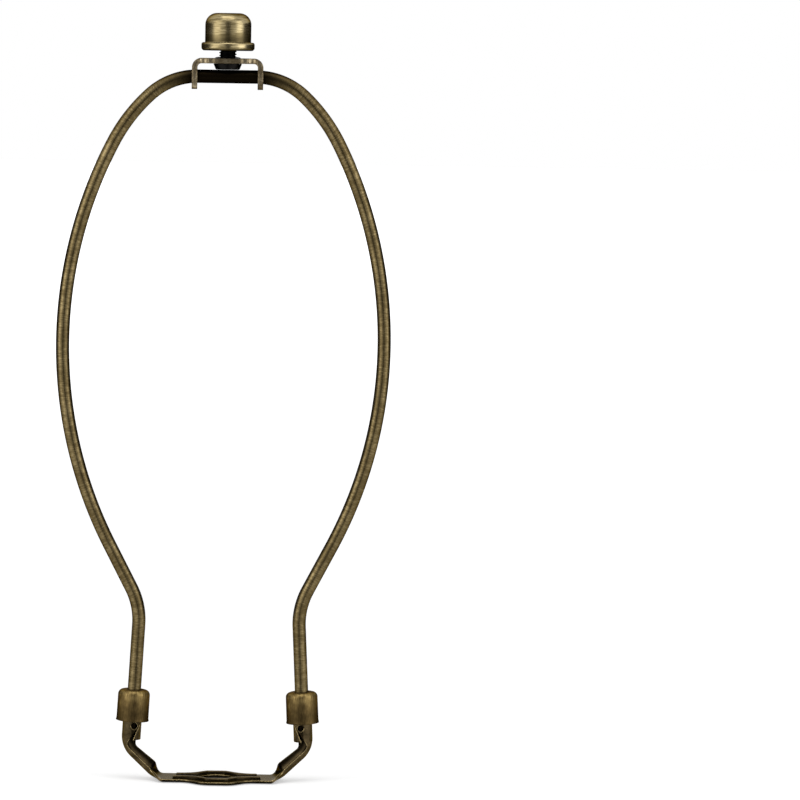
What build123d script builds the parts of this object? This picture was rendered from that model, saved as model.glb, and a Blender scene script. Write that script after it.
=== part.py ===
# Lamp harp: a wire bow that stands in a saddle under a lamp's socket and carries the shade on its top.
# Millimetres, +Z up, X across the two legs of the bow, Y through its thickness. The origin is in the
# middle of the saddle's pipe hole, on the saddle's underside.
from build123d import *
import os
from math import acos, cos, pi, radians, sin, tan

os.makedirs("parts", exist_ok=True)

# Driving dimensions, in millimetres and degrees

# The whole harp
harp_height = 254.0          # saddle underside to the shade's seat on the strap: the 10 inch size
wire_diameter = 4.7          # 3/16 inch wire

# The bow's centreline, seen from the front
bow_half_width = 56.35       # middle of the harp to the wire's axis, at the widest point
widest_height = 154.0        # height of the widest point
lower_side_radius = 154.0    # of the side below the widest point
flare_angle = 27.5           # of the straight stretch above the neck, from the vertical
neck_radius = 25.0           # of the bend between that stretch and the leg
upper_side_turn = 27.0       # the side above the widest point turns by this much
haunch_radius = 60.0         # of the arc between the side and the shoulder
haunch_turn = 20.0           # and it turns by this much
top_straight_half = 10.2     # half the straight stretch at the top

# The legs and the sockets that hold them
leg_lean = 3.0               # the legs lean in by this much as they rise
socket_half_span = 29.5      # middle of the harp to a leg's axis, at the socket's top end
socket_top_height = 30.9     # height of the sockets' top ends
leg_end_height = 16.0        # height of the wire's two cut ends, inside the sockets
leg_end_chamfer = 0.4

# The saddle's strip
sheet = 0.95                 # thickness of the strip
strip_half_depth = 7.3       # half its width, on the flat
eye_half_depth = 13.0        # half its width at the eye, the wider part round the pipe hole
eye_front_half = 5.0         # half the straight edge of the eye
eye_corner_radius = 5.6
pipe_hole_diameter = 10.45   # clears a 1/8 IP lamp pipe
rib_height = 0.85            # of the two raised ribs, which run along the strip and round the hole
rib_inset = 3.5              # from the strip's edge to the rib
rib_width = 1.9
front_rib_half = 15.5        # half the length of the front rib
back_rib_half = 14.3         # and of the back one
rib_rounding = 0.4
arm_reach = 7.35             # level distance from the foot, where the arm's underside, carried down,
                             # meets the flat's underside, to the leg's axis at the socket's top end
foot_bend_radius = 8.0       # of the strip's underside, between the flat and the arm
arm_angle = 43.5             # of the arm, from the horizontal
knee_radius = 10.0           # of the strip's underside, between the arm and the socket
transition = 0.6             # length of arm after the foot bend that the strip takes to roll up
front_flange = 2.05          # height of the arm's front edge above its underside
back_flange = 4.4            # height of its back edge, at the foot

# The mouth, where the rolled strip opens below the socket, from the leg's axis or as heights
socket_clearance = 0.05      # between the wire and the socket's wall
mouth_tip_out = 1.7          # the mouth's outer tip, outwards from the axis
mouth_tip_radius = 2.0
tab_height = 14.0            # lower edge of the tab that the back edge makes round the inner side
tab_corner_in = 0.7          # the tab's corner, inwards from the axis
throat_in = 1.7              # the back edge below the tab, inwards from the axis
throat_height = 11.4         # where it meets the arm's back edge
throat_radius = 2.0
seam_height = 19.2           # where the mouth closes to a seam
seam_in = 2.55               # the seam, inwards from the axis
seam_gap = 0.15
stop_hole_diameter = 2.3     # the punched hole in the front of each socket
stop_hole_height = 19.1
stop_hole_in = 0.85          # inwards from the axis

# The ferrules
ferrule_length = 11.0
ferrule_top_radius = 5.6     # outside, under the rounded shoulder
ferrule_waist_radius = 5.65  # outside, just above the rim
ferrule_rim_radius = 5.85
ferrule_rim_flare = 0.9      # height of the flared rim
ferrule_shoulder = 1.8       # radius of the rounded shoulder
ferrule_wall = 0.75
ferrule_hole_clearance = 0.2
ferrule_seat_clearance = 0.05

# The swivel bracket
strap_rise = 6.4             # top of the strap above the wire's axis
strap_thickness = 1.9
bracket_half_width = 12.45   # middle to a leg's outer face
bracket_bend_radius = 3.3    # outside
bracket_half_depth = 4.5     # half the legs' width, and the radius of their round ends
bracket_hole_clearance = 0.25
pad_diameter = 13.5
pad_half_depth = 4.8         # the round pad is cut straight at its front and back
neck_notch_radius = 1.8      # of the round notches beside the pad
neck_half_depth = 3.5        # half the strap's width between two notches

# The threaded stud, as a plain cylinder over its crests
stud_diameter = 6.1          # 1/4-27 thread
stud_chamfer = 0.5
stud_rise = 10.6             # above the strap
collar_diameter = 8.9
collar_thickness = 0.4
shank_diameter = 5.2
rivet_top_diameter = 10.0
rivet_bottom_diameter = 8.3
rivet_thickness = 1.95
swivel_clearance = 0.05      # round the shank and above and below the strap

# The finial
finial_gap = 2.6             # strap to the finial's underside
brim_diameter = 18.6
brim_thickness = 2.9
brim_rounding = 0.8          # of its lower edge
brim_top_rounding = 0.25
dome_diameter = 16.1
dome_height = 10.2           # above the brim
dome_rounding = 4.1
finial_bore_clearance = 0.08
finial_bore_spare = 2.4      # free length of the bore above the stud

# What follows from them
wire_radius = wire_diameter / 2
top_axis_height = harp_height - strap_rise
socket_inner_radius = wire_radius + socket_clearance
socket_outer_radius = socket_inner_radius + sheet
shank_radius = shank_diameter / 2
stud_radius = stud_diameter / 2
lean = radians(leg_lean)
arm_slope = radians(arm_angle)


def leg_axis(height, outwards=0.0):
    """A point beside the right leg's axis, as (x, z)."""
    return (socket_half_span + (socket_top_height - height) * tan(lean) + outwards, height)


def along(point, angle, distance):
    """The point at a distance in a direction, given in radians from +X."""
    return (point[0] + distance * cos(angle), point[1] + distance * sin(angle))


def crossing(point, angle, other, other_angle):
    """Where two straight lines cross, each given by a point and its direction in radians."""
    gap_x = other[0] - point[0]
    gap_z = other[1] - point[1]
    turn = sin(other_angle - angle)
    return along(point, angle, (gap_x * sin(other_angle) - gap_z * cos(other_angle)) / turn)


def leg_plane(height):
    """The plane across the leg at a height, with its x outwards and its z up the leg."""
    return Plane(
        (leg_axis(height)[0], 0, height), x_dir=(cos(lean), 0, sin(lean)), z_dir=(-sin(lean), 0, cos(lean))
    )


# The wire: half of the bow as tangent lines and arcs, from the leg's end up to the middle of the top
leg_direction = pi / 2 + lean
flare_direction = pi / 2 - radians(flare_angle)
side_bottom = (
    bow_half_width - lower_side_radius * (1 - cos(radians(flare_angle))),
    widest_height - lower_side_radius * sin(radians(flare_angle)),
)
leg_end = leg_axis(leg_end_height)
neck = crossing(leg_end, leg_direction, side_bottom, flare_direction)

# The radii of the upper side and of the shoulder are the two that make the arcs end level at the top
side_end = radians(upper_side_turn)
haunch_end = side_end + radians(haunch_turn)
width_left = bow_half_width - top_straight_half - haunch_radius * (cos(side_end) - cos(haunch_end))
height_left = top_axis_height - widest_height - haunch_radius * (sin(haunch_end) - sin(side_end))
solve = (1 - cos(side_end)) * (1 - sin(haunch_end)) - cos(haunch_end) * sin(side_end)
upper_side_radius = (width_left * (1 - sin(haunch_end)) - height_left * cos(haunch_end)) / solve
shoulder_radius = ((1 - cos(side_end)) * height_left - sin(side_end) * width_left) / solve

side_centre = (bow_half_width - upper_side_radius, widest_height)
haunch_centre = along(side_centre, side_end, upper_side_radius - haunch_radius)
shoulder_centre = (top_straight_half, top_axis_height - shoulder_radius)

with BuildPart() as harp_wire:
    with BuildLine(Plane.XZ) as bow:
        FilletPolyline(leg_end, neck, side_bottom, radius=neck_radius)
        CenterArc(
            (bow_half_width - lower_side_radius, widest_height),
            lower_side_radius, -flare_angle, flare_angle,
        )
        CenterArc(side_centre, upper_side_radius, 0, upper_side_turn)
        CenterArc(haunch_centre, haunch_radius, upper_side_turn, haunch_turn)
        shoulder_turn = 90 - upper_side_turn - haunch_turn
        CenterArc(shoulder_centre, shoulder_radius, upper_side_turn + haunch_turn, shoulder_turn)
        Line((top_straight_half, top_axis_height), (0, top_axis_height))
    with BuildSketch(leg_plane(leg_end_height)):
        Circle(wire_radius)
    sweep()
    leg_tip = harp_wire.faces().filter_by(GeomType.PLANE).sort_by(Axis.Z)[0]
    chamfer(leg_tip.edges(), leg_end_chamfer)
    mirror(about=Plane.YZ)
harp_wire.part.label = "harp_wire"
export_step(harp_wire.part, "parts/harp_wire.step")


# The saddle: one strip, flat in the middle, rolled up along each arm and into a tube at its end
arm_normal = arm_slope + pi / 2
foot_half_span = socket_half_span - arm_reach
foot = (foot_half_span, 0.0)
foot_tangent = foot_bend_radius * tan(arm_slope / 2)
flat_end = foot_half_span - foot_tangent
roll_start = along(foot, arm_slope, foot_tangent + transition)
arm_axis_start = along(roll_start, arm_normal, socket_outer_radius)
knee = crossing(arm_axis_start, arm_slope, leg_axis(socket_top_height), leg_direction)
rolled_mid_radius = socket_outer_radius - sheet / 2
foot_steps = 12              # straight steps that the foot bend is made of


def flange_edge(flange, share):
    """Half the strip's width a share of the way up the foot, below and above, to an edge that is cut level."""
    outer_end = acos((socket_outer_radius - flange) / socket_outer_radius)
    inner_end = acos((socket_outer_radius - flange) / socket_inner_radius)
    narrowed = share ** 2 * (3 - 2 * share)
    half = strip_half_depth + narrowed * (outer_end * rolled_mid_radius - strip_half_depth)
    return half, half + share * (inner_end - outer_end) * rolled_mid_radius


def strip_section(plane, share):
    """The strip's section a share of the way up the foot: flat at 0, the arm's rolled channel at 1."""
    front_half, front_top = flange_edge(front_flange, share)
    back_half, back_top = flange_edge(back_flange, share)
    with BuildSketch(plane) as section:
        with BuildLine():
            if share == 0:
                Polyline(
                    (-front_half, 0), (back_half, 0), (back_half, sheet), (-front_half, sheet),
                    close=True,
                )
            else:
                mid_radius = rolled_mid_radius / share ** 2
                outer = mid_radius + sheet / 2
                inner = mid_radius - sheet / 2

                def on_arc(radius, distance):
                    turn = distance / mid_radius
                    return (radius * sin(turn), outer - radius * cos(turn))

                underside = ThreePointArc(
                    on_arc(outer, -front_half), on_arc(outer, (back_half - front_half) / 2),
                    on_arc(outer, back_half),
                )
                topside = ThreePointArc(
                    on_arc(inner, back_top), on_arc(inner, (back_top - front_top) / 2),
                    on_arc(inner, -front_top),
                )
                Line(underside @ 1, topside @ 0)
                Line(topside @ 1, underside @ 0)
        make_face()
    return section.sketch.face()


def strip_plane(point, slope):
    """The plane across the strip at an underside point, with its x along Y and its y into the sheet."""
    return Plane((point[0], 0, point[1]), x_dir=(0, 1, 0), z_dir=(cos(slope), 0, sin(slope)))


with BuildPart() as arm:
    # The tube that the strip would make, rolled shut all the way from the arm to the socket's top
    with BuildLine(Plane.XZ):
        FilletPolyline(
            arm_axis_start, knee, leg_axis(socket_top_height),
            radius=knee_radius - socket_outer_radius,
        )
    with BuildSketch(strip_plane(arm_axis_start, arm_slope)):
        Circle(socket_outer_radius)
        Circle(socket_inner_radius, mode=Mode.SUBTRACT)
    sweep()

    # On the knee's inner side the tube stays straight, down to the tab's lower edge
    inner_side = Location((-socket_outer_radius, 0))
    with BuildSketch(leg_plane(tab_height)):
        with Locations(inner_side):
            Rectangle(2 * socket_outer_radius, 3 * socket_outer_radius)
    extrude(amount=seam_height - tab_height, mode=Mode.SUBTRACT)
    with BuildSketch(leg_plane(tab_height)):
        Circle(socket_outer_radius)
        Circle(socket_inner_radius, mode=Mode.SUBTRACT)
        with Locations(inner_side):
            Rectangle(2 * socket_outer_radius, 2 * socket_outer_radius, mode=Mode.INTERSECT)
    extrude(amount=seam_height - tab_height)

    # The mouth: what the strip leaves open in front and behind, up to the tab and the seam
    tab_far = leg_axis(tab_height, -2 * socket_outer_radius)
    mouth_far = along(roll_start, arm_normal, 2.5 * socket_outer_radius)
    front_edge = along(roll_start, arm_normal, front_flange)
    mouth_tip = crossing(front_edge, arm_slope, leg_axis(tab_height, mouth_tip_out), leg_direction)
    seam_end_height = socket_top_height + sheet
    with BuildSketch(Plane.XZ) as front_mouth:
        with BuildLine():
            Polyline(
                front_edge, mouth_tip,
                leg_axis(seam_height, -seam_in + seam_gap / 2),
                leg_axis(seam_end_height, -seam_in + seam_gap / 2),
                leg_axis(seam_end_height, -seam_in - seam_gap / 2),
                leg_axis(seam_height, -seam_in - seam_gap / 2),
                leg_axis(tab_height, -tab_corner_in), tab_far, mouth_far, close=True,
            )
        make_face()
        fillet(front_mouth.vertices().sort_by_distance(mouth_tip)[0], mouth_tip_radius)
    extrude(amount=2 * socket_outer_radius, mode=Mode.SUBTRACT)
    back_edge = along(roll_start, arm_normal, back_flange)
    throat = leg_axis(throat_height, -throat_in)
    with BuildSketch(Plane.XZ) as back_mouth:
        with BuildLine():
            Polyline(
                back_edge, throat, leg_axis(tab_height, -throat_in), tab_far, mouth_far, close=True,
            )
        make_face()
        fillet(back_mouth.vertices().sort_by_distance(throat)[0], throat_radius)
    extrude(amount=-2 * socket_outer_radius, mode=Mode.SUBTRACT)

    # The punched hole in the socket's front
    with BuildSketch(Plane.XZ):
        with Locations(leg_axis(stop_hole_height, -stop_hole_in)):
            Circle(stop_hole_diameter / 2)
    extrude(amount=2 * socket_outer_radius, mode=Mode.SUBTRACT)

    # The foot bend, where the flat strip narrows and rolls up into the arm's channel
    sections = []
    foot_length = foot_bend_radius * arm_slope + transition
    for step in range(foot_steps + 1):
        slope = arm_slope * step / foot_steps
        bend_point = (
            flat_end + foot_bend_radius * sin(slope),
            foot_bend_radius * (1 - cos(slope)),
        )
        share = foot_bend_radius * slope / foot_length
        sections.append(strip_section(strip_plane(bend_point, slope), share))
    sections.append(strip_section(strip_plane(roll_start, arm_slope), 1))
    loft(sections, ruled=True)

with BuildPart() as saddle:
    # The outline of the strip and its eye, which runs on past the flat's ends, and the flat
    with BuildSketch(mode=Mode.PRIVATE) as outline:
        with BuildLine():
            eye_flank_end = eye_front_half + eye_half_depth - strip_half_depth
            outline_end = flat_end + rib_inset + rib_width
            Polyline(
                (0, eye_half_depth), (eye_front_half, eye_half_depth),
                (eye_flank_end, strip_half_depth), (outline_end, strip_half_depth), (outline_end, 0),
            )
            mirror(about=Plane.XZ)
            mirror(about=Plane.YZ)
        make_face()
        fillet([v for v in outline.vertices() if 0 < abs(v.X) < flat_end], eye_corner_radius)
    with BuildSketch():
        add(outline.sketch)
        Rectangle(2 * flat_end, 2 * eye_half_depth, mode=Mode.INTERSECT)
    extrude(amount=sheet)

    # The ribs, front and back
    for half_length, side in ((front_rib_half, -1), (back_rib_half, 1)):
        with BuildSketch(Plane.XY.offset(sheet)):
            offset(outline.sketch, amount=-rib_inset)
            offset(outline.sketch, amount=-rib_inset - rib_width, mode=Mode.SUBTRACT)
            with Locations((0, side * eye_half_depth / 2)):
                Rectangle(2 * half_length, eye_half_depth, mode=Mode.INTERSECT)
        extrude(amount=rib_height)
    rib_tops = saddle.faces().filter_by(Axis.Z).group_by(Axis.Z)[-1]
    fillet(rib_tops.edges(), rib_rounding)

    with Locations((0, 0, 0)):
        Cylinder(pipe_hole_diameter / 2, 4 * sheet, mode=Mode.SUBTRACT)
    add(arm.part)
    mirror(arm.part, about=Plane.YZ)
saddle.part.label = "saddle"
export_step(saddle.part, "parts/saddle.step")


# The ferrules: drawn caps on the legs, each hanging by its top on the end of its socket
ferrule_hole_radius = wire_radius + ferrule_hole_clearance
ferrule_inside_top = ferrule_length - ferrule_wall
ferrule_drop = ferrule_inside_top - ferrule_seat_clearance


def make_ferrule(name, side):
    """The cap on one leg, turned about the leg's axis and saved; side is -1 or 1."""
    leg_top = Vector(side * socket_half_span, 0, socket_top_height)
    up_leg = Vector(-side * sin(lean), 0, cos(lean))
    turning = Plane(leg_top - up_leg * ferrule_drop, x_dir=(cos(lean), 0, side * sin(lean)), z_dir=(0, -1, 0))
    with BuildPart() as ferrule:
        with BuildSketch(turning):
            with BuildLine():
                Polyline(
                    (ferrule_rim_radius - ferrule_wall, 0), (ferrule_rim_radius, 0),
                    (ferrule_waist_radius, ferrule_rim_flare),
                    (ferrule_top_radius, ferrule_length - ferrule_shoulder),
                )
                RadiusArc(
                    (ferrule_top_radius, ferrule_length - ferrule_shoulder),
                    (ferrule_top_radius - ferrule_shoulder, ferrule_length), -ferrule_shoulder,
                )
                Polyline(
                    (ferrule_top_radius - ferrule_shoulder, ferrule_length),
                    (ferrule_hole_radius, ferrule_length), (ferrule_hole_radius, ferrule_inside_top),
                    (ferrule_top_radius - ferrule_shoulder, ferrule_inside_top),
                )
                RadiusArc(
                    (ferrule_top_radius - ferrule_shoulder, ferrule_inside_top),
                    (ferrule_top_radius - ferrule_wall, ferrule_length - ferrule_shoulder),
                    ferrule_shoulder - ferrule_wall,
                )
                Polyline(
                    (ferrule_top_radius - ferrule_wall, ferrule_length - ferrule_shoulder),
                    (ferrule_waist_radius - ferrule_wall, ferrule_rim_flare),
                    (ferrule_rim_radius - ferrule_wall, 0),
                )
            make_face()
        revolve(axis=Axis(leg_top, up_leg))
    ferrule.part.label = name
    export_step(ferrule.part, f"parts/{name}.step")


make_ferrule("ferrule_left", -1)
make_ferrule("ferrule_right", 1)


# The swivel bracket: a bent strap that tilts on the top of the wire
with BuildPart() as swivel_bracket:
    bracket_height = strap_rise + bracket_half_depth
    inner_bend_radius = bracket_bend_radius - strap_thickness
    with BuildSketch(Plane.XZ) as strap_side:
        with Locations((0, harp_height - bracket_height / 2)):
            Rectangle(2 * bracket_half_width, bracket_height)
        fillet(strap_side.vertices().group_by(Axis.Y)[-1], bracket_bend_radius)
        with BuildSketch(Plane.XZ, mode=Mode.PRIVATE) as inside:
            with Locations((0, harp_height - strap_thickness - bracket_height / 2)):
                Rectangle(2 * (bracket_half_width - strap_thickness), bracket_height)
            fillet(inside.vertices().group_by(Axis.Y)[-1], inner_bend_radius)
        add(inside.sketch, mode=Mode.SUBTRACT)
    extrude(amount=bracket_half_depth, both=True)

    # Round leg ends about the wire's hole
    with BuildSketch(Plane.YZ):
        with Locations((0, top_axis_height - bracket_half_depth / 2)):
            Rectangle(2 * bracket_half_depth, bracket_half_depth)
        with Locations((0, top_axis_height)):
            Circle(bracket_half_depth, mode=Mode.SUBTRACT)
    extrude(amount=bracket_half_width, both=True, mode=Mode.SUBTRACT)
    with BuildSketch(Plane.YZ):
        with Locations((0, top_axis_height)):
            Circle(wire_radius + bracket_hole_clearance)
    extrude(amount=bracket_half_width, both=True, mode=Mode.SUBTRACT)

    # The pad for the stud, with a notch on each side of each neck
    strap_top = Plane.XY.offset(harp_height)
    with BuildSketch(strap_top):
        Circle(pad_diameter / 2)
        Rectangle(pad_diameter, 2 * pad_half_depth, mode=Mode.INTERSECT)
    extrude(amount=-strap_thickness)
    with BuildSketch(strap_top):
        notch_x = pad_diameter / 2 + neck_notch_radius
        notch_y = neck_half_depth + neck_notch_radius
        with GridLocations(2 * notch_x, 2 * notch_y, 2, 2):
            Circle(neck_notch_radius)
        Circle(shank_radius + swivel_clearance)
    extrude(amount=-strap_thickness, mode=Mode.SUBTRACT)
swivel_bracket.part.label = "swivel_bracket"
export_step(swivel_bracket.part, "parts/swivel_bracket.step")


# The stud: collar and thread above the strap, rivet head below, free to turn in the pad's hole
collar_bottom = harp_height + swivel_clearance
collar_top = collar_bottom + collar_thickness
stud_top = harp_height + stud_rise
rivet_top = harp_height - strap_thickness - swivel_clearance

with BuildPart() as threaded_stud:
    with BuildSketch(Plane.XZ):
        with BuildLine():
            Polyline(
                (0, rivet_top - rivet_thickness),
                (rivet_bottom_diameter / 2, rivet_top - rivet_thickness),
                (rivet_top_diameter / 2, rivet_top),
                (shank_radius, rivet_top), (shank_radius, collar_bottom),
                (collar_diameter / 2, collar_bottom), (collar_diameter / 2, collar_top),
                (stud_radius, collar_top), (stud_radius, stud_top - stud_chamfer),
                (stud_radius - stud_chamfer, stud_top), (0, stud_top), close=True,
            )
        make_face()
    revolve(axis=Axis.Z)
threaded_stud.part.label = "threaded_stud"
export_step(threaded_stud.part, "parts/threaded_stud.step")


# The finial: turned in one piece, with a blind bore for the stud
finial_bottom = harp_height + finial_gap
brim_top = finial_bottom + brim_thickness
finial_top = brim_top + dome_height
bore_radius = stud_radius + finial_bore_clearance
bore_top = stud_top + finial_bore_spare

with BuildPart() as finial:
    with BuildSketch(Plane.XZ) as finial_half:
        with BuildLine():
            Polyline(
                (bore_radius, finial_bottom), (brim_diameter / 2, finial_bottom),
                (brim_diameter / 2, brim_top), (dome_diameter / 2, brim_top),
                (dome_diameter / 2, finial_top), (0, finial_top),
                (0, bore_top), (bore_radius, bore_top), close=True,
            )
        make_face()
        for corner, rounding in (
            ((brim_diameter / 2, finial_bottom), brim_rounding),
            ((brim_diameter / 2, brim_top), brim_top_rounding),
            ((dome_diameter / 2, finial_top), dome_rounding),
        ):
            fillet(finial_half.vertices().sort_by_distance(corner)[0], rounding)
    revolve(axis=Axis.Z)
finial.part.label = "finial"
export_step(finial.part, "parts/finial.step")

print("upper side radius", round(upper_side_radius, 2), "shoulder radius", round(shoulder_radius, 2))
print("ferrule rim height", round(socket_top_height - ferrule_drop * cos(lean), 2))
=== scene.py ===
# %% [markdown]
# # A lamp harp in brushed antique brass
# A harp is the wire bow that stands in a saddle under a lamp's bulb and carries the shade on its
# top. This lesson dresses a finished CAD model of one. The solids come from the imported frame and
# stay where they are. Two of them keep their meshes and only get a finish. The other five are
# round things, a bent wire and turned or drawn pieces, and they are made again as fine meshes of
# the same form, because the marks that a brush leaves follow the wire and the turning, and a new
# mesh can carry coordinates for them.

# %% Load the frame
from math import atan2, ceil, cos, degrees, hypot, pi, radians, sin, tan

import bpy
from mathutils import Matrix, Vector


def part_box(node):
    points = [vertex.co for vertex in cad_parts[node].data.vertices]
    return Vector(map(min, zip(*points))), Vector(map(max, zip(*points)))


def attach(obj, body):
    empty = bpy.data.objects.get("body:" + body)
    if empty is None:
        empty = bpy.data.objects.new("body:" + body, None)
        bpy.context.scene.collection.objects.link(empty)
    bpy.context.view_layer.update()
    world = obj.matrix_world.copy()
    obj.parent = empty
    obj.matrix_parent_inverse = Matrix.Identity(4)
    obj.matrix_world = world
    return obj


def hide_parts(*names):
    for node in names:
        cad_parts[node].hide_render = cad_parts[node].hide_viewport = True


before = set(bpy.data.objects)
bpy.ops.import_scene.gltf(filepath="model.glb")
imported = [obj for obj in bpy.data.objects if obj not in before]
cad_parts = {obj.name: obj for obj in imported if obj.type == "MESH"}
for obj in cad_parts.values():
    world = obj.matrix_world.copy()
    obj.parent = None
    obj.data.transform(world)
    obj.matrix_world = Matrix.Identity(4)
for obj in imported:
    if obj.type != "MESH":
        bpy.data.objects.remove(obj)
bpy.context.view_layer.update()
MM = 0.001
print("nodes:", sorted(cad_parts))

# %% [markdown]
# ## The camera
# The picture was taken from about 1.65 m, level with the finial: the finial is seen level and the
# saddle from 9 degrees above. The harp stands left of the middle, so the lens is shifted sideways,
# which keeps its sides parallel where turning the camera would not. A roll of less than a degree
# gives the slight lean that the bow has in its saddle.

# %% Place the camera
camera_distance, camera_height = 1.65, 0.262
aim_height = 0.1344
lens_length = 212.3
sideways_shift = 0.2219
camera_roll = 0.9
camera_data = bpy.data.cameras.new("studio_camera")
camera_data.lens = lens_length
camera_data.shift_x = sideways_shift
camera_data.clip_end = 50
camera = bpy.data.objects.new("studio_camera", camera_data)
bpy.context.scene.collection.objects.link(camera)
looking_down = atan2(camera_height - aim_height, camera_distance)
camera.matrix_world = (
    Matrix.Translation((0, -camera_distance, camera_height))
    @ Matrix.Rotation(pi / 2 - looking_down, 4, "X")
    @ Matrix.Rotation(radians(camera_roll), 4, "Z")
)
bpy.context.scene.camera = camera
print("camera looks down by", round(degrees(looking_down), 2), "degrees")

# %% [markdown]
# ## Node tools
# Every finish below is a small tree of shader nodes. A few helpers keep the trees readable: one
# adds a node with its values and links, two do the sums that come up again and again, and two
# start a node group and place it in a tree.


# %% Helpers for single shader nodes
def feed(tree, made, inputs):
    """Gives a node its inputs. Each is a socket to link from, or a plain value."""
    for key, value in inputs.items():
        if isinstance(value, bpy.types.NodeSocket):
            tree.links.new(value, made.inputs[key])
        else:
            made.inputs[key].default_value = value


def node(tree, kind, inputs, **settings):
    """Adds a shader node with its settings and inputs."""
    made = tree.nodes.new("ShaderNode" + kind)
    for name, value in settings.items():
        setattr(made, name, value)
    feed(tree, made, inputs)
    return made


def calculate(tree, operation, first, second):
    """One sum with two values: adds or multiplies them, or takes the greater one."""
    return node(tree, "Math", {0: first, 1: second}, operation=operation).outputs[0]


def spread(tree, value, old, new=(0.0, 1.0), **settings):
    """Spreads the old range of a value over a new one, and holds it at the new ends outside."""
    ends = {"From Min": old[0], "From Max": old[1], "To Min": new[0], "To Max": new[1]}
    return node(tree, "MapRange", {"Value": value, **ends}, **settings).outputs[0]


# %% Helpers for node groups
def start_group(name, inputs, outputs):
    """A node group with sockets given as {name: (kind, value)} and {name: kind}."""
    group = bpy.data.node_groups.new(name, "ShaderNodeTree")
    for label, (kind, value) in inputs.items():
        socket = group.interface.new_socket(
            label, in_out="INPUT", socket_type="NodeSocket" + kind
        )
        if value is not None:
            socket.default_value = value
    for label, kind in outputs.items():
        group.interface.new_socket(label, in_out="OUTPUT", socket_type="NodeSocket" + kind)
    given = group.nodes.new("NodeGroupInput").outputs
    result = group.nodes.new("NodeGroupOutput").inputs
    return group, given, result


def place(tree, group, inputs):
    """Puts a node group in a tree, feeds it, and gives back its outputs."""
    made = tree.nodes.new("ShaderNodeGroup")
    made.node_tree = group
    feed(tree, made, inputs)
    return made.outputs


# %% [markdown]
# ## The effects that several finishes share
# The real finish is brass, plated on the steel pieces, that was blackened and then brushed back. So
# three things show on every piece: fine brush marks that run one way, cloudy patches where more or
# less of the black came off, and edges of their own tone. Edges are brighter because the brush
# meets most edges first, and this also paints in the highlight that an edge catches. On the bracket
# the edges are painted dark, as shade.
# Each effect is a node group. The brush marks are a noise squeezed along one direction, which is
# cheap and never repeats. The edges come from a Bevel node, which looks at the real angle between
# faces, so no edge has to be marked by hand.


# %% Brush marks and patches
def make_brush_marks():
    """Fine and broad marks and cloudy patches, from coordinates that follow the work."""
    group, given, result = start_group(
        "brush_marks",
        {
            "Worked": ("Vector", None),
            "Across": ("Vector", (2.0, 0.3, 0.3)),
            "Cloud": ("Vector", (0.1, 0.5, 0.5)),
        },
        {"Fine": "Float", "Broad": "Float", "Patches": "Float"},
    )

    def squeezed(stretch, times, detail):
        """A noise that is squeezed by its own number in each direction."""
        size = node(group, "VectorMath", {0: given["Worked"], 1: stretch}, operation="MULTIPLY")
        settings = {"Vector": size.outputs[0], "Scale": times, "Detail": detail, "Roughness": 0.6}
        return node(group, "TexNoise", settings).outputs["Fac"]

    broad_scale = 0.23
    group.links.new(squeezed(given["Across"], 1.0, 2.0), result["Fine"])
    group.links.new(squeezed(given["Across"], broad_scale, 3.0), result["Broad"])
    group.links.new(squeezed(given["Cloud"], 1.0, 4.0), result["Patches"])
    return group


brush_marks = make_brush_marks()
print("group made:", brush_marks.name)


# %% Edges and soft corners
def make_edges():
    """How near an edge a spot is, and a normal that rounds the edge off."""
    group, given, result = start_group(
        "edges",
        {"Radius": ("Float", 0.0003)},
        {"Bright": "Float", "Normal": "Vector"},
    )
    soft = node(group, "Bevel", {"Radius": given["Radius"]}, samples=6).outputs[0]
    plain = node(group, "NewGeometry", {}).outputs["Normal"]
    match = node(group, "VectorMath", {0: soft, 1: plain}, operation="DOT_PRODUCT")
    still_flat, fully_edge = 0.985, 0.86
    bright = spread(group, match.outputs["Value"], (still_flat, fully_edge))
    group.links.new(bright, result["Bright"])
    group.links.new(soft, result["Normal"])
    return group


edges = make_edges()
print("group made:", edges.name)


# %% How much brass shows
def make_relief():
    """Black, brown and brass, and how dull they are, by how far a spot was brushed back."""
    group, given, result = start_group(
        "brushed_back",
        {
            "Black": ("Color", (0.02, 0.015, 0.01, 1)),
            "Brown": ("Color", (0.15, 0.12, 0.07, 1)),
            "Brass": ("Color", (0.4, 0.33, 0.18, 1)),
            "Amount": ("Float", 0.5),
            "Rough Black": ("Float", 0.38),
            "Rough Brass": ("Float", 0.24),
        },
        {"Color": "Color", "Roughness": "Float"},
    )

    def blend(amount, first, second):
        """One colour turning into another."""
        return node(group, "MixRGB", {"Fac": amount, "Color1": first, "Color2": second}).outputs[0]

    low = spread(group, given["Amount"], (0.0, 0.5))
    high = spread(group, given["Amount"], (0.5, 1.0))
    dark = blend(low, given["Black"], given["Brown"])
    full = blend(high, dark, given["Brass"])
    dullness = (given["Rough Black"], given["Rough Brass"])
    rough = spread(group, given["Amount"], (0.0, 1.0), dullness)
    group.links.new(full, result["Color"])
    group.links.new(rough, result["Roughness"])
    return group


relief = make_relief()
print("group made:", relief.name)

# %% [markdown]
# ## One recipe for the brushed metal
# All the pieces were blackened in the same way, and all but the stud met the brush. So one recipe
# makes all of their materials, and each piece gives it its own colours, brush direction and size of
# patches. The metal is a Principled shader, fully metallic. Its Specular Tint is dark: on a metal
# that socket sets the colour that is seen at a slant, and blackened brass stays dark there, where
# clean metal would turn white.


# %% How far each spot was brushed back
noise_range = (0.3, 0.7)


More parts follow.
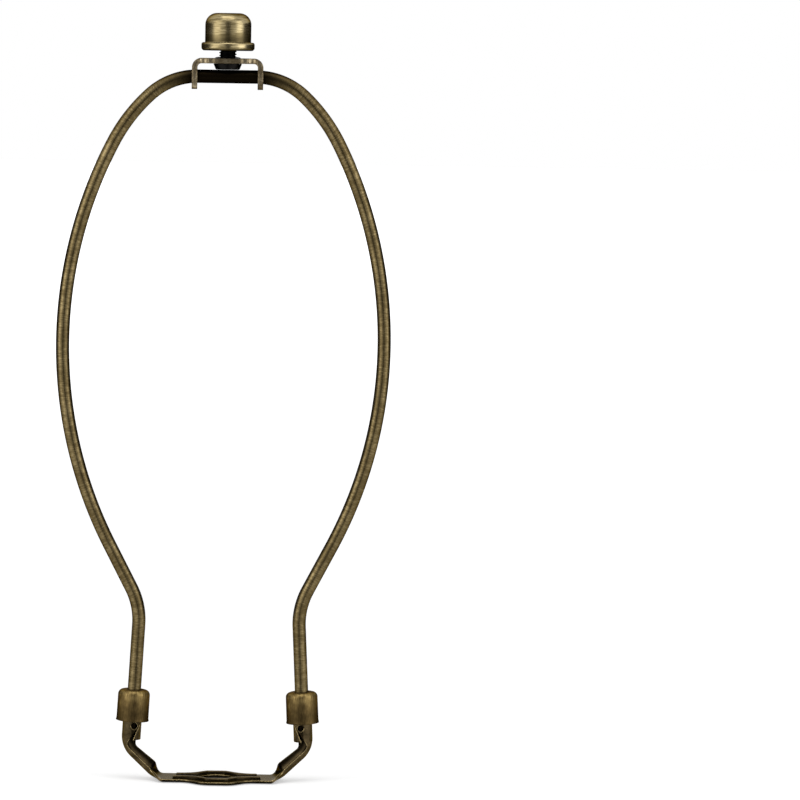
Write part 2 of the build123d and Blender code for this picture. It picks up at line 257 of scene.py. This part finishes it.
def brushed_amount(tree, start, marks, rim, amount, swing, edge, hollow, reach):
    """The nodes that add marks, patches and edges to a middle amount and hold back the hollows.

    A noise keeps mostly within noise_range, so that range is what gets spread."""
    total = amount
    for source, share in zip((marks["Fine"], marks["Broad"], marks["Patches"]), swing):
        part = spread(tree, source, noise_range, (-share, share))
        total = calculate(tree, "ADD", part, total)
    # edges add to the amount as brushed wear and a painted highlight, or take from it as painted
    # shade where edge is below 0
    edge_wear_and_highlight = calculate(tree, "MULTIPLY", rim["Bright"], edge)
    total = calculate(tree, "ADD", total, edge_wear_and_highlight)
    if hollow:
        distance, shut, clear, least = hollow
        depth = node(tree, "AmbientOcclusion", {"Distance": distance}, only_local=True, samples=8)
        open_part = spread(tree, depth.outputs["AO"], (shut, clear), (least, 1.0))
        total = calculate(tree, "MULTIPLY", total, open_part)
    along = node(tree, "SeparateXYZ", {0: start}).outputs["X"]
    far = node(tree, "Math", {0: along}, operation="ABSOLUTE").outputs[0]
    for (begin, at_begin), (end, at_end) in reach:
        grown = spread(
            tree, far, (begin, end), (at_begin, at_end), interpolation_type="SMOOTHSTEP"
        )
        total = calculate(tree, "MULTIPLY", total, grown)
    return total


# %% The recipe
mark_depth = 0.0001
mark_strength = 0.1


def brushed_metal(
    name, black, brown, brass, worked, across, cloud, amount, swing, slant,
    edge=0.4, hollow=None, reach=(), rim_radius=0.00035, rough=(0.38, 0.24),
):
    """A brushed finish in black, brown and brass.

    worked: the marks follow stored coordinates, and otherwise the piece's place in mm
    across, cloud: how tightly the marks and the patches are squeezed in each direction
    amount: how far the piece is brushed back, 0 to 1
    swing: how much fine marks, broad marks and patches change the amount
    slant: the colour that is seen at a slant
    edge: what an edge adds to the amount, as brushed wear and a painted highlight; less than 0
    paints the edges dark, as painted shade
    hollow: how far a hollow is felt in metres, how open it is where the brush starts to reach it
        and where it reaches all of it, and the share of the amount that is left at its darkest
    reach: stretches as ((begin, share), (end, share)), in mm along the piece, over which the
        amount changes
    rim_radius: how wide an edge is, in metres
    rough: how dull the black and the brass are
    """
    material = bpy.data.materials.new(name)
    material.use_nodes = True
    tree = material.node_tree
    shader = tree.nodes["Principled BSDF"]
    if worked:
        start = node(tree, "Attribute", {}, attribute_name="worked").outputs["Vector"]
    else:
        here = node(tree, "TexCoord", {}).outputs["Object"]
        in_mm = {0: here, "Scale": 1 / MM}
        start = node(tree, "VectorMath", in_mm, operation="SCALE").outputs[0]
    marks = place(tree, brush_marks, {"Worked": start, "Across": across, "Cloud": cloud})
    rim = place(tree, edges, {"Radius": rim_radius})
    total = brushed_amount(tree, start, marks, rim, amount, swing, edge, hollow, reach)
    finish = place(tree, relief, {
        "Black": (*black, 1), "Brown": (*brown, 1), "Brass": (*brass, 1), "Amount": total,
        "Rough Black": rough[0], "Rough Brass": rough[1],
    })
    grooves = node(tree, "Bump", {
        "Strength": mark_strength, "Distance": mark_depth, "Height": marks["Fine"],
        "Normal": rim["Normal"],
    })
    feed(tree, shader, {
        "Base Color": finish["Color"], "Roughness": finish["Roughness"],
        "Normal": grooves.outputs[0], "Metallic": 1.0, "Specular Tint": (*slant, 1),
    })
    print("material made:", name)
    return material


# %% [markdown]
# ## The bow
# The bow is steel wire, brushed across its length on the way through a machine, so its marks are
# rings round the wire. The level top between the strap's legs and the ends inside the ferrules were
# never brushed and stay black.
#
# A wire bender works from a list: so much straight, then a bend of this radius through this angle.
# The same list, walked like a turtle, gives the wire's middle line, and a ring of points set across
# it at every step gives its skin. A Blender curve with a round bevel could do that too, but here
# each point also stores where it was on the straight wire, before bending, and the brush marks
# follow that.

# %% The wire's finish
unbrushed_top = ((11.5, 0.02), (26.0, 1.0))
unbrushed_ends = ((250.5, 1.0), (252.5, 0.02))
wire_metal = brushed_metal(
    "brushed_wire",
    black=(0.006, 0.004, 0.002), brown=(0.1, 0.073, 0.031), brass=(0.44, 0.345, 0.175),
    worked=True, across=(2.6, 0.5, 0.5), cloud=(0.1, 0.35, 0.35), amount=0.53,
    swing=(0.1, 0.05, 0.08), slant=(0.08, 0.07, 0.05), reach=(unbrushed_top, unbrushed_ends),
)

# %% Walk along the bends
wire_radius = 2.35
leg_end = (30.281, 16.0)
leg_heading = 93
bends = (
    # length of a straight stretch, or radius and turn of a bend to the left; in mm and degrees
    (38.890, 0), (25.0, -30.5), (17.138, 0), (154.0, 27.5), (155.013, 27.0), (60.0, 20.0),
    (24.508, 43.0), (10.2, 0),
)


def walk_bends(step=0.8):
    """Points of the right half's middle line, from the leg's end up: (x, z, heading, length)."""
    (x, z), heading, length = leg_end, radians(leg_heading), 0.0
    path = [(x, z, heading, length)]
    for size, turn in bends:
        run = size * abs(radians(turn)) if turn else size
        pieces = max(2, ceil(run / step))
        half_turn = radians(turn) / pieces / 2
        chord = 2 * size * sin(abs(half_turn)) if turn else run / pieces
        for _ in range(pieces):
            heading += half_turn
            x += chord * cos(heading)
            z += chord * sin(heading)
            heading += half_turn
            length += run / pieces
            path.append((x, z, heading, length))
    return path


right_half = walk_bends()
half_length = right_half[-1][3]
left_half = [
    (-x, z, -heading, 2 * half_length - length)
    for x, z, heading, length in reversed(right_half[:-1])
]
middle_line = right_half + left_half
print("the straight wire is", round(2 * half_length, 1), "mm long")


# %% Helpers for new meshes
sharp_above = 40


def rings_to_faces(rings, around, closed=False):
    """Quads between rings of points that follow each other."""
    faces = []
    for i in range(rings if closed else rings - 1):
        this, following = i * around, (i + 1) % rings * around
        for j in range(around):
            beside = (j + 1) % around
            faces.append((this + j, this + beside, following + beside, following + j))
    return faces


def end_caps(rings, around):
    """One face over the first ring of points and one over the last."""
    last = (rings - 1) * around
    return [tuple(range(around))[::-1], tuple(range(last, last + around))]


def link_mesh(name, points, faces, worked, material, body, replaced, slot):
    """A smooth mesh, given in mm, that replaces a CAD node and stores its worked coordinates.

    Edges between faces that meet at more than sharp_above degrees stay sharp."""
    mesh = bpy.data.meshes.new(name)
    mesh.from_pydata([tuple(v * MM for v in p) for p in points], [], faces)
    stored = mesh.attributes.new("worked", "FLOAT_VECTOR", "POINT")
    stored.data.foreach_set("vector", [v for w in worked for v in w])
    mesh.polygons.foreach_set("use_smooth", [True] * len(mesh.polygons))
    mesh.set_sharp_from_angle(angle=radians(sharp_above))
    mesh.materials.append(material)
    made = bpy.data.objects.new(name, mesh)
    bpy.context.scene.collection.objects.link(made)
    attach(made, body)
    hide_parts(replaced)
    low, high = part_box(replaced)
    print(name, "has", len(mesh.polygons), "faces")
    print("    CAD size: ", [round((b - a) / MM, 2) for a, b in zip(low, high)])
    print("    mesh size:", [round(s / MM, 2) for s in made.dimensions])


# %% Give the line its skin
wire_around = 36
end_chamfer = 0.4
points, worked = [], []
rings = len(middle_line)
for ring, (x, z, heading, length) in enumerate(middle_line):
    radius = wire_radius - end_chamfer if ring in (0, rings - 1) else wire_radius
    for j in range(wire_around):
        turn = 2 * pi * j / wire_around
        side, depth = cos(turn), sin(turn)
        out = radius * side
        points.append((x + out * sin(heading), radius * depth, z - out * cos(heading)))
        worked.append((length - half_length, wire_radius * side, wire_radius * depth))
faces = rings_to_faces(rings, wire_around) + end_caps(rings, wire_around)
link_mesh("bow", points, faces, worked, wire_metal, "frame", "harp_wire", "wire_bronze")

# %% [markdown]
# ## Turned and drawn pieces
# The ferrules, the stud and the finial are round about an axis. Each is a profile, like the one a
# lathe tool follows, spun round. A Screw modifier could spin it too, but here each point also
# stores its way along the profile, for the brush marks. No real corner is perfectly sharp, so the
# helper rounds every corner of the profile by its own small radius, and that is what catches the
# light along a rim.

# %% Round the corners of a profile
arc_fineness = 6


def round_corners(corners, closed):
    """Corners as (r, z, rounding) become points: each corner turns into an arc of that radius."""
    outline = []
    for i, (r, z, rounding) in enumerate(corners):
        if rounding <= 0 or (not closed and i in (0, len(corners) - 1)):
            outline.append((r, z))
            continue
        here = Vector((r, z))
        to_before = (Vector(corners[i - 1][:2]) - here).normalized()
        to_after = (Vector(corners[(i + 1) % len(corners)][:2]) - here).normalized()
        half = to_before.angle(to_after) / 2
        centre = here + (to_before + to_after).normalized() * rounding / sin(half)
        start = here + to_before * rounding / tan(half) - centre
        end = here + to_after * rounding / tan(half) - centre
        steps = max(2, ceil(arc_fineness * rounding ** 0.5 * (pi - 2 * half)))
        sweep = start.angle_signed(end)
        for k in range(steps + 1):
            turned = start.copy()
            turned.rotate(Matrix.Rotation(-sweep * k / steps, 2))
            outline.append(tuple(centre + turned))
    return outline


# %% Spin a profile
def spin(corners, at=(0, 0, 0), lean=0, closed=False, around=96, shape=None):
    """Spins a profile about an axis that starts at a point and leans by some degrees towards -X.

    It gives the points, the faces and the worked coordinates: the way along the profile in mm and
    the direction round the axis. shape changes a point's radius."""
    outline = round_corners(corners, closed)
    tilt = Matrix.Translation(at) @ Matrix.Rotation(-radians(lean), 4, "Y")
    points, worked, length = [], [], 0.0
    for k, (r, z) in enumerate(outline):
        if k:
            length += hypot(r - outline[k - 1][0], z - outline[k - 1][1])
        for j in range(around):
            turn = 2 * pi * j / around
            radius = shape(r, z, turn) if shape else r
            points.append(tuple(tilt @ Vector((radius * cos(turn), radius * sin(turn), z))))
            worked.append((length, cos(turn), sin(turn)))
    rings = len(outline)
    faces = rings_to_faces(rings, around, closed)
    if not closed:
        faces += end_caps(rings, around)
    return points, faces, worked


# %% [markdown]
# ## The ferrules
# Each ferrule is drawn from sheet like a small cup, with a hole in its top for the wire and a lip
# that flares at its mouth. It hangs on the end of the socket by its top and leans with the leg. The
# brush went up and down it, so its marks stand upright. Its finish is darker towards the mouth
# and brighter towards the top.

# %% The ferrules' finish
# darker towards the mouth, brighter towards the top
duller_mouth = ((2.5, 0.5), (11.5, 1.25))
ferrule_metal = brushed_metal(
    "drawn_ferrule",
    black=(0.02, 0.013, 0.005), brown=(0.13, 0.088, 0.033), brass=(0.36, 0.26, 0.1),
    worked=True, across=(0.5, 11.0, 11.0), cloud=(0.35, 1.3, 1.3), amount=0.5,
    swing=(0.16, 0.1, 0.14), slant=(0.14, 0.11, 0.07), reach=(duller_mouth,), rough=(0.52, 0.4),
)

# %% Spin both ferrules
leg_lean = 3.0
leg_top_x, leg_top_z = 29.5, 30.9
hang = 10.2
ferrule_profile = (
    (5.1, 0.0, 0.12), (5.85, 0.0, 0.16), (5.65, 0.9, 1.2), (5.6, 11.0, 1.8), (2.55, 11.0, 0.12),
    (2.55, 10.25, 0.12), (4.85, 10.25, 1.05), (4.9, 0.9, 0.6),
)
for side_name, side in (("left", -1), ("right", 1)):
    foot_x = side * (leg_top_x + hang * sin(radians(leg_lean)))
    foot_z = leg_top_z - hang * cos(radians(leg_lean))
    cup = spin(ferrule_profile, (foot_x, 0, foot_z), side * leg_lean, closed=True)
    link_mesh(
        "cup_" + side_name, *cup, ferrule_metal,
        side_name + "_ferrule", "ferrule_" + side_name, "ferrule_brass",
    )

# %% [markdown]
# ## The stud and its thread
# The stud is riveted into the strap and carries the finial. Its thread has 27 turns to the inch.
# The profile is spun as before, but each point's radius follows a ridge that climbs by one pitch
# every turn, which makes one continuous helix instead of separate rings. The stud was blackened
# and never brushed, so hardly any brass shows on it.

# %% The stud's finish
stud_metal = brushed_metal(
    "blackened_stud",
    black=(0.003, 0.003, 0.003), brown=(0.018, 0.017, 0.016), brass=(0.16, 0.13, 0.09),
    worked=True, across=(1.5, 0.4, 0.4), cloud=(0.5, 1.0, 1.0), amount=0.18,
    swing=(0.05, 0.05, 0.1), slant=(0.03, 0.03, 0.03), edge=0.08,
)

# %% The ridge of the thread
strap_top = 254.0
pitch = 25.4 / 27
thread_bottom, thread_top = strap_top + 0.45, strap_top + 10.6
crest, root = 3.05, 2.52
ridge_height, ridge_slope = 1.3, 2.9
run_out = 0.5


def thread_radius(r, z, turn):
    """The radius of a point on the thread, or the profile's own radius elsewhere."""
    if r != crest:
        return r
    phase = (z / pitch - turn / (2 * pi)) % 1.0
    ridge = min(1.0, max(0.0, ridge_height - ridge_slope * abs(phase - 0.5)))
    fade = min(1.0, (thread_top - z) / run_out)
    return root + (crest - root) * ridge * fade


print("the thread climbs", round(pitch, 3), "mm each turn")

# %% Spin the threaded stud
thread_rows = 150
thread_length = thread_top - thread_bottom
end_bevel = 0.1
rivet_and_collar = (
    (1.0, 250.02, 0), (4.15, 250.02, 0.5), (5.0, 252.05, 0.15), (2.6, 252.05, 0), (2.6, 254.05, 0),
    (4.45, 254.05, 0.05), (4.45, 254.2, 0.05), (3.5, 254.45, 0.2), (root, thread_bottom, 0),
)
thread_side = [
    (crest, thread_bottom + thread_length * row / thread_rows, 0) for row in range(1, thread_rows)
]
thread_end = (root - end_bevel, thread_top, 0)
stud = spin([*rivet_and_collar, *thread_side, thread_end], shape=thread_radius)
link_mesh("thread", *stud, stud_metal, "stud", "threaded_stud", "stud_black")

# %% [markdown]
# ## The finial
# The knob is turned from brass bar: a dome over a flat brim, with a blind bore. The brush went
# round it on the lathe, so its marks run level. Its bore and the underside of its brim are dark,
# the underside as painted shade. It is darker in the groove where the dome meets the brim, and
# brighter up the dome.

# %% The finial's finish
# painted shade: the bore and the brim's underside get little brass
painted_shade_underside = ((16.0, 0.1), (17.2, 1.0))
# darker in the groove at the dome's foot, and brighter up the dome
into_the_groove = ((19.9, 1.0), (20.2, 0.4))
out_of_the_groove = ((20.6, 1.0), (24.0, 2.5))
finial_metal = brushed_metal(
    "turned_finial",
    black=(0.015, 0.01, 0.004), brown=(0.17, 0.132, 0.062), brass=(0.62, 0.51, 0.29),
    worked=True, across=(3.0, 1.7, 1.7), cloud=(0.3, 0.9, 0.9), amount=0.6,
    swing=(0.16, 0.06, 0.16), slant=(0.09, 0.07, 0.045), hollow=(0.003, 0.45, 0.9, 0.12),
    reach=(painted_shade_underside, into_the_groove, out_of_the_groove), rough=(0.36, 0.24),
)

# %% Spin the finial
finial_bottom, finial_top = 256.6, 269.7
brim_top = finial_bottom + 2.9
bore_radius, bore_top = 3.13, 267.0
finial_profile = (
    (bore_radius, bore_top, 0), (bore_radius, finial_bottom, 0.15), (9.3, finial_bottom, 1.1),
    (9.3, brim_top, 0.75), (8.05, brim_top, 0.12), (8.05, finial_top, 4.1), (0.5, finial_top, 0),
)
knob = spin(finial_profile, around=128)
link_mesh("knob", *knob, finial_metal, "finial_knob", "finial", "finial_brass")

# %% [markdown]
# ## The two pieces that keep their meshes
# The saddle is one strip of sheet steel, stamped and rolled up at its ends, and the bracket is a
# bent strap. Their CAD solids already have the right form, so only their finish changes. Their
# marks follow plain object coordinates, which is enough for strips that were brushed lengthways.
# The saddle was brushed least: its channels stay black, and its raised edges are bright, as brushed
# wear and as a painted highlight. Its flat is seen at a slant all over, so its colour at a slant is
# a middle brown. The bracket is the lightest piece. Its edges are painted dark, a painted shade
# along its outlines, and for that its edge value is less than 0.

# %% The saddle's and the bracket's finish
# the saddle's bright edges (edge above 0) are brushed wear and a painted highlight
saddle_metal = brushed_metal(
    "stamped_saddle",
    black=(0.008, 0.006, 0.003), brown=(0.085, 0.062, 0.03), brass=(0.42, 0.32, 0.15),
    worked=False, across=(0.3, 1.8, 1.8), cloud=(0.28, 0.33, 0.33), amount=0.37,
    swing=(0.06, 0.1, 0.2), slant=(0.46, 0.42, 0.34), edge=0.6, hollow=(0.006, 0.5, 0.95, 0.03),
    rim_radius=0.0005, rough=(0.3, 0.2),
)
# the bracket's dark edges (edge below 0) are painted shade
bracket_metal = brushed_metal(
    "bent_bracket",
    black=(0.03, 0.022, 0.014), brown=(0.2, 0.155, 0.09), brass=(0.5, 0.42, 0.28),
    worked=False, across=(0.6, 1.8, 1.8), cloud=(0.22, 0.4, 0.3), amount=0.6,
    swing=(0.1, 0.1, 0.3), slant=(0.06, 0.05, 0.035), edge=-0.4, hollow=(0.003, 0.3, 0.75, 0.2),
    rim_radius=0.0009, rough=(0.4, 0.28),
)

# %% Finish the saddle and the bracket
for name, metal in (("saddle", saddle_metal), ("swivel_bracket", bracket_metal)):
    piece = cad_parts[name]
    piece.data.materials.clear()
    piece.data.materials.append(metal)
    print(name, "has", len(piece.data.polygons), "faces and the finish", metal.name)

# %% [markdown]
# ## The white room
# Metal looks like what surrounds it. The room is white where the camera sees it, and where the
# metal mirrors it, but gives the object a plain, lower light of its own. Light Path tells the two
# apart: rays from the camera, and the ones that metal or glass sends on, meet white.


# %% Light the room
def ray_is_seen(tree):
    """1 for rays that show a background: from the camera, off metal, and through glass."""
    path = node(tree, "LightPath", {}).outputs
    seen = calculate(tree, "MAXIMUM", path["Is Camera Ray"], path["Is Glossy Ray"])
    return calculate(tree, "MAXIMUM", seen, path["Is Transmission Ray"])


room_light = 0.45
world = bpy.data.worlds.new("white_room")
bpy.context.scene.world = world
world.use_nodes = True
tree = world.node_tree
strength = spread(tree, ray_is_seen(tree), (0.0, 1.0), (room_light, 1.0))
feed(tree, tree.nodes["Background"], {"Color": (1, 1, 1, 1), "Strength": strength})
bpy.context.scene.view_settings.view_transform = "Standard"
print("the room is white to the camera and at", room_light, "for the light it gives")

# %% [markdown]
# ## The floor
# The harp stands on pale paper. It glows towards white with the distance, so that it has no
# horizon, and its plain part still takes the harp's shadow. In the middle, below the pipe hole,
# the paper is painted dark and its glow is taken away. This is a painted shade, so that the hole is
# seen over dark paper and not over bright paper.


# %% Lay the paper
def stage_panel(name, corners, material):
    """A flat panel from its corners in metres, which is not part of the object."""
    mesh = bpy.data.meshes.new(name)
    mesh.from_pydata(corners, [], [tuple(range(len(corners)))])
    mesh.materials.append(material)
    panel = bpy.data.objects.new(name, mesh)
    bpy.context.scene.collection.objects.link(panel)
    return panel


below_hole, beside_hole = 0.006, 0.012
painted_shade_paper, pale_paper = 0.2, 0.8
near, far_off = 0.1, 2.5
near_glow, far_glow = 0.4, 1.0
paper = bpy.data.materials.new("pale_paper")
paper.use_nodes = True
tree = paper.node_tree
seen = ray_is_seen(tree)
spot = node(tree, "TexCoord", {}).outputs["Object"]
away = node(tree, "VectorMath", {0: spot}, operation="LENGTH").outputs["Value"]
brighter = spread(tree, away, (near, far_off), (near_glow, far_glow))
# painted shade below the pipe hole: the paper is darkest within below_hole of the middle and plain
# from beside_hole out, and its glow goes with it
clear = spread(tree, away, (below_hole, beside_hole))
full = calculate(tree, "MULTIPLY", brighter, clear)
feed(tree, tree.nodes["Principled BSDF"], {
    "Roughness": 0.9,
    "Base Color": spread(tree, clear, (0.0, 1.0), (painted_shade_paper, pale_paper)),
    "Emission Color": (1, 1, 1, 1),
    "Emission Strength": calculate(tree, "MULTIPLY", seen, full),
})
reach_out, depth = 8, -0.0003
square = [(x * reach_out, y * reach_out, depth) for x, y in ((-1, -1), (1, -1), (1, 1), (-1, 1))]
floor = stage_panel("floor", square, paper)
print("floor laid, in metres:", [round(s, 2) for s in floor.dimensions])

# %% [markdown]
# ## Cloths and cards
# In a room that is white all round, metal has no shape, so the studio has dark cloth for it to
# mirror, as a photographer would hang up. A narrow cloth hangs in front, and its reflection is the
# dark streak down the middle of every round piece. Two cards behind the sides darken the outlines,
# and a cloth that lies in front keeps the saddle's front edge dark. All four are hidden from the
# camera, cast no shadow, and take nothing from the plain light that the floor and the object get.

# %% Hang the cloths and cards
cloth = bpy.data.materials.new("dark_cloth")
cloth.use_nodes = True
feed(cloth.node_tree, cloth.node_tree.nodes["Principled BSDF"], {
    "Base Color": (0.02, 0.02, 0.02, 1), "Roughness": 1.0,
})
above_floor, above_paper = 0.02, -0.00015
standing = (
    # name, left and right foot, height of the top edge
    ("front_cloth", (-0.14, -0.6), (0.14, -0.6), 0.7),
    ("left_card", (-0.8, -0.12), (-0.25, 0.8), 0.4),
    ("right_card", (0.8, -0.12), (0.25, 0.8), 0.4),
)
cards = [
    stage_panel(name, [(*a, above_floor), (*b, above_floor), (*b, top), (*a, top)], cloth)
    for name, a, b, top in standing
]
lying = ((-0.1, -0.5), (0.1, -0.5), (0.02, 0.006), (-0.02, 0.006))
cards.append(stage_panel("lying_cloth", [(*spot, above_paper) for spot in lying], cloth))
for card in cards:
    card.visible_camera = False
    card.visible_shadow = False
    card.visible_diffuse = False
print("dark cards, hidden from the camera:", [card.name for card in cards])

# %% [markdown]
# ## Lights
# A tall soft light stands on each side, and their reflections are the two bright bands along the
# wire, the ferrules and the finial. The left one is the stronger one. A third hangs overhead and
# lights the flat of the saddle and the finial's dome.


# %% Set up the lights
def soft_light(name, at, width, height, power):
    """A soft rectangular lamp that points at the harp's middle. In metres and watts."""
    lamp = bpy.data.lights.new(name, "AREA")
    lamp.shape = "RECTANGLE"
    lamp.size, lamp.size_y = width, height
    lamp.energy = power
    made = bpy.data.objects.new(name, lamp)
    bpy.context.scene.collection.objects.link(made)
    made.location = at
    harp_middle = Vector((0, 0, 0.13))
    made.rotation_euler = (Vector(at) - harp_middle).to_track_quat("Z", "Y").to_euler()
    made.visible_camera = False


soft_light("left_light", (-0.75, -0.5, 0.4), 0.6, 1.0, 3.5)
soft_light("right_light", (0.78, -0.45, 0.36), 0.5, 0.9, 2.3)
soft_light("top_light", (0.0, -0.25, 1.1), 0.7, 0.6, 3.0)
